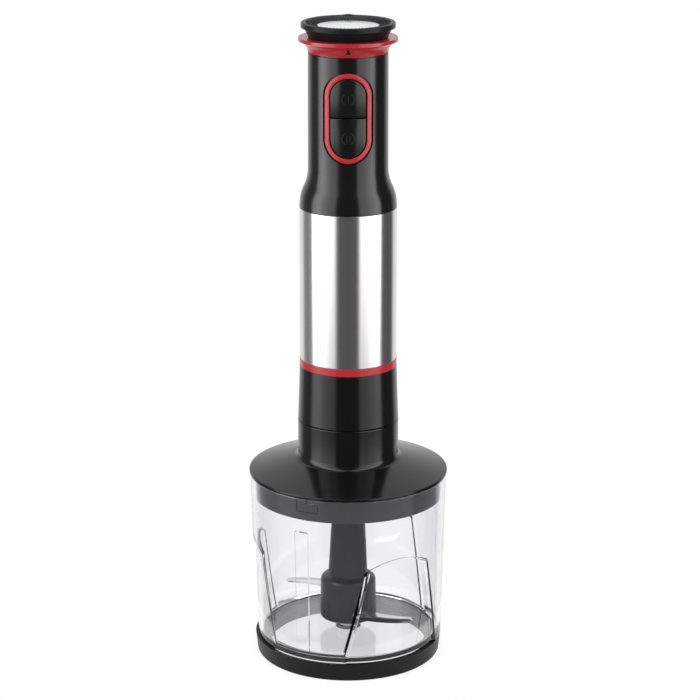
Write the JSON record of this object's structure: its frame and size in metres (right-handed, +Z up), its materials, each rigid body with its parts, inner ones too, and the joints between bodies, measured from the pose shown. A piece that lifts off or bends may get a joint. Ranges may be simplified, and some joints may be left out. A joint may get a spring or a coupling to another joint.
{
  "type": "immersion blender",
  "caption": "Stick blender's motor unit standing in the geared lid of a clear chopper bowl, with speed dial and two push buttons.",
  "frame": {"origin": "centre of the foot ring's underside, on the common axis of bowl, lid and motor unit", "axes": "+Z up along the common axis, -Y towards the front, where the two buttons are"},
  "size_m": [0.12, 0.12, 0.3885],
  "materials": {
    "foot_rubber": "satin",
    "clear_bowl": "clear",
    "pin_steel": "polished",
    "hub_plastic": "satin",
    "blade_steel": "polished",
    "lid_black": "gloss",
    "seal_rubber": "matte",
    "gear_plastic": "satin",
    "inner_plastic": "matte",
    "fastener_steel": "zinc plated",
    "housing_black": "gloss",
    "accent_red": "gloss",
    "sleeve_steel": "fine circumferential brushing",
    "spring_steel": "bright",
    "circuit_board": "solder mask",
    "bracket_aluminium": "cast",
    "lamination_steel": "rolled",
    "copper": "enamelled wire",
    "carbon": "matte",
    "brass": "drawn",
    "dial_black": "satin",
    "cap_silver": "satin lacquer",
    "button_black": "satin"
  },
  "bodies": {
    "bowl": {"foot_ring": "foot_rubber", "bowl": "clear_bowl", "bowl_floor": "clear_bowl", "bowl_pin": "pin_steel"},
    "blade": {"blade_hub": "hub_plastic", "lower_blade": "blade_steel", "upper_blade": "blade_steel"},
    "lid": {"lid_shell": "lid_black", "shaft_seal": "seal_rubber", "ring_gear": "gear_plastic", "gearbox_cover": "inner_plastic", "cover_screws": "fastener_steel"},
    "sun": {"sun_gear": "gear_plastic"},
    "carrier": {"planet_carrier": "inner_plastic", "planet_pins": "pin_steel"},
    "planet_1": {"planet_gear_1": "gear_plastic"},
    "planet_2": {"planet_gear_2": "gear_plastic"},
    "planet_3": {"planet_gear_3": "gear_plastic"},
    "motor_unit": {"lower_housing": "housing_black", "accent_ring": "accent_red", "metal_sleeve": "sleeve_steel", "motor_barrel": "inner_plastic", "grip_housing": "housing_black", "button_bezel": "accent_red", "button_spring_high": "spring_steel", "button_spring_low": "spring_steel", "switch_board": "circuit_board", "switch_high": "inner_plastic", "switch_low": "inner_plastic", "top_collar": "accent_red", "control_board": "circuit_board", "potentiometer": "pin_steel", "cord_gland": "seal_rubber", "lower_bearing": "pin_steel", "upper_bearing": "pin_steel", "lower_bracket": "bracket_aluminium", "upper_bracket": "bracket_aluminium", "motor_bolts": "fastener_steel", "stator_core": "lamination_steel", "field_coils": "copper", "carbon_brushes": "carbon", "brush_holders": "brass", "damper_rings": "seal_rubber"},
    "dial": {"speed_dial": "dial_black", "dial_cap": "cap_silver"},
    "button_high": {"button_high": "button_black"},
    "button_low": {"button_low": "button_black"},
    "armature": {"armature_core": "lamination_steel", "armature_winding": "copper", "commutator": "copper", "motor_shaft": "pin_steel", "cooling_fan": "inner_plastic", "drive_coupling": "inner_plastic"}
  },
  "joints": [
    {"name": "lid_lift", "type": "slide", "parent": "bowl", "child": "lid", "axis": [0, 0, 1], "range_m": [0, 0.06]},
    {"name": "motor_lift", "type": "slide", "parent": "lid", "child": "motor_unit", "axis": [0, 0, 1], "range_m": [0, 0.06]},
    {"name": "dial_turn", "type": "hinge", "parent": "motor_unit", "child": "dial", "pos_m": [0, 0, 0.385], "axis": [0, 0, 1], "range_deg": [-270, 0]},
    {"name": "button_low_press", "type": "slide", "parent": "motor_unit", "child": "button_low", "axis": [0, 1, 0], "range_m": [0, 0.0015], "stiffness_N_per_m": 400, "springref_m": -0.0015, "deforming": ["button_spring_low"]},
    {"name": "button_high_press", "type": "slide", "parent": "motor_unit", "child": "button_high", "axis": [0, 1, 0], "range_m": [0, 0.0015], "stiffness_N_per_m": 400, "springref_m": -0.0015, "deforming": ["button_spring_high"]},
    {"name": "armature_spin", "type": "hinge", "parent": "motor_unit", "child": "armature", "pos_m": [0, 0, 0.2], "axis": [0, 0, 1], "continuous": true},
    {"name": "sun_spin", "type": "hinge", "parent": "lid", "child": "sun", "pos_m": [0, 0, 0.13], "axis": [0, 0, 1], "continuous": true},
    {"name": "carrier_spin", "type": "hinge", "parent": "lid", "child": "carrier", "pos_m": [0, 0, 0.12], "axis": [0, 0, 1], "continuous": true},
    {"name": "planet_1_spin", "type": "hinge", "parent": "carrier", "child": "planet_1", "pos_m": [0.0135, 0, 0.129], "axis": [0, 0, 1], "continuous": true},
    {"name": "planet_2_spin", "type": "hinge", "parent": "carrier", "child": "planet_2", "pos_m": [-0.00675, 0.01169, 0.129], "axis": [0, 0, 1], "continuous": true},
    {"name": "planet_3_spin", "type": "hinge", "parent": "carrier", "child": "planet_3", "pos_m": [-0.00675, -0.01169, 0.129], "axis": [0, 0, 1], "continuous": true},
    {"name": "blade_spin", "type": "hinge", "parent": "bowl", "child": "blade", "pos_m": [0, 0, 0.05], "axis": [0, 0, 1], "continuous": true}
  ],
  "couplings": [
    {"joint": "sun_spin", "follows": "armature_spin", "ratio": 1},
    {"joint": "carrier_spin", "follows": "armature_spin", "ratio": 0.22222},
    {"joint": "planet_1_spin", "follows": "armature_spin", "ratio": -0.62222},
    {"joint": "planet_2_spin", "follows": "armature_spin", "ratio": -0.62222},
    {"joint": "planet_3_spin", "follows": "armature_spin", "ratio": -0.62222},
    {"joint": "blade_spin", "follows": "armature_spin", "ratio": 0.22222}
  ]
}
